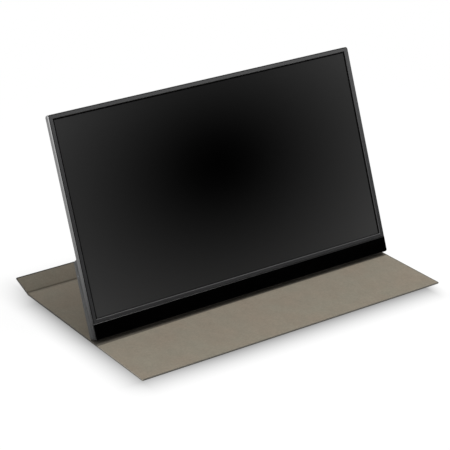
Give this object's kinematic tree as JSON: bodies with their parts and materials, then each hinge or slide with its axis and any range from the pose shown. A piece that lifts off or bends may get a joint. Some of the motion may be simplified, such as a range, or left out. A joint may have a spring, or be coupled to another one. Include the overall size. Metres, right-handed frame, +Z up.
{
  "type": "portable monitor",
  "caption": "Slim portable monitor that leans back on a fold-out stand, on an opened folio cover with a creased attachment strip; side buttons press and tip.",
  "frame": {"origin": "on the underside of the cover, in the middle of the whole part's width and depth", "axes": "+Z up, +X along the monitor's width towards its ports, -Y towards the viewer"},
  "size_m": [0.357, 0.2462, 0.2124],
  "materials": {
    "bezel_grey": "fine metallic paint, satin",
    "chin_gloss": "piano-black gloss",
    "screen": "matt anti-glare film over the panel",
    "shell_metal": "fine bead-blasted, satin",
    "housing_grey": "fine spark texture",
    "stand_metal": "satin, anodised",
    "steel": "stamped sheet",
    "dark_plastic": "moulded",
    "film_white": "smooth",
    "board_green": "solder mask",
    "tape_black": "foam tape",
    "rubber": "matt",
    "light_clear": "clear light pipe",
    "cover_skin": "fine-grained synthetic leather",
    "cover_lining": "brushed microfibre, taupe",
    "cover_board": "pressed fibre board",
    "magnet": "nickel plated"
  },
  "bodies": {
    "cover": {"cover_outer_skin": "cover_skin", "cover_board": "cover_board", "closure_magnets": "magnet", "cover_lining": "cover_lining"},
    "strip": {"strip_outer_skin": "cover_skin", "strip_board": "cover_board", "strip_magnets": "magnet", "strip_lining": "cover_lining"},
    "monitor": {"front_bezel": "bezel_grey", "chin_panel": "chin_gloss", "rear_cover": "shell_metal", "middle_frame": "dark_plastic", "panel_tape": "tape_black", "lcd_glass": "screen", "light_guide": "film_white", "lamp_bar": "film_white", "panel_tray": "shell_metal", "driver_board": "board_green", "display_cable": "tape_black", "lower_housing": "housing_grey", "housing_screws": "steel", "bottom_foot_left": "rubber", "bottom_foot_right": "rubber", "main_board": "board_green", "board_shield": "steel", "usb_c_socket_1": "steel", "usb_c_socket_2": "steel", "mini_hdmi_socket": "steel", "audio_jack": "dark_plastic", "speaker_left": "dark_plastic", "speaker_right": "dark_plastic", "button_board": "board_green", "button_switches": "dark_plastic", "button_carrier": "dark_plastic", "power_light": "light_clear", "hinge_bracket_left": "steel", "hinge_bracket_right": "steel", "bracket_screws": "steel"},
    "stand": {"stand_plate": "stand_metal", "stand_foot": "rubber", "stand_leaf_left": "steel", "stand_leaf_right": "steel", "leaf_rivets": "steel", "hinge_pin_left": "steel", "hinge_pin_right": "steel"},
    "power_button": {"power_button": "housing_grey"},
    "menu_button": {"menu_button": "housing_grey"},
    "adjust_rocker": {"adjust_rocker": "housing_grey"}
  },
  "joints": [
    {"name": "monitor_recline", "type": "hinge", "parent": "cover", "child": "monitor", "pos_m": [0, -0.02808, 0.0039], "axis": [-1, 0, 0], "range_deg": [-19.8, 28]},
    {"name": "stand_hinge", "type": "hinge", "parent": "monitor", "child": "stand", "pos_m": [0, -0.00166, 0.07729], "axis": [1, 0, 0], "range_deg": [-39.6, 56]},
    {"name": "cover_fold", "type": "hinge", "parent": "cover", "child": "strip", "pos_m": [0, 0.09736, 0.0014], "axis": [1, 0, 0], "range_deg": [-19.2, 70.8]},
    {"name": "power_button_press", "type": "slide", "parent": "monitor", "child": "power_button", "axis": [1, 0, 0], "range_m": [0, 0.0005], "stiffness_N_per_m": 1500, "springref_m": -0.0005},
    {"name": "menu_button_press", "type": "slide", "parent": "monitor", "child": "menu_button", "axis": [1, 0, 0], "range_m": [0, 0.0005], "stiffness_N_per_m": 1500, "springref_m": -0.0005},
    {"name": "rocker_tip", "type": "hinge", "parent": "monitor", "child": "adjust_rocker", "pos_m": [-0.1753, -0.0137, 0.05091], "axis": [0, 0.9409, -0.3387], "range_deg": [-2.5, 2.5], "stiffness_Nm_per_rad": 0.4}
  ],
  "couplings": [
    {"joint": "stand_hinge", "follows": "monitor_recline", "ratio": 2}
  ]
}
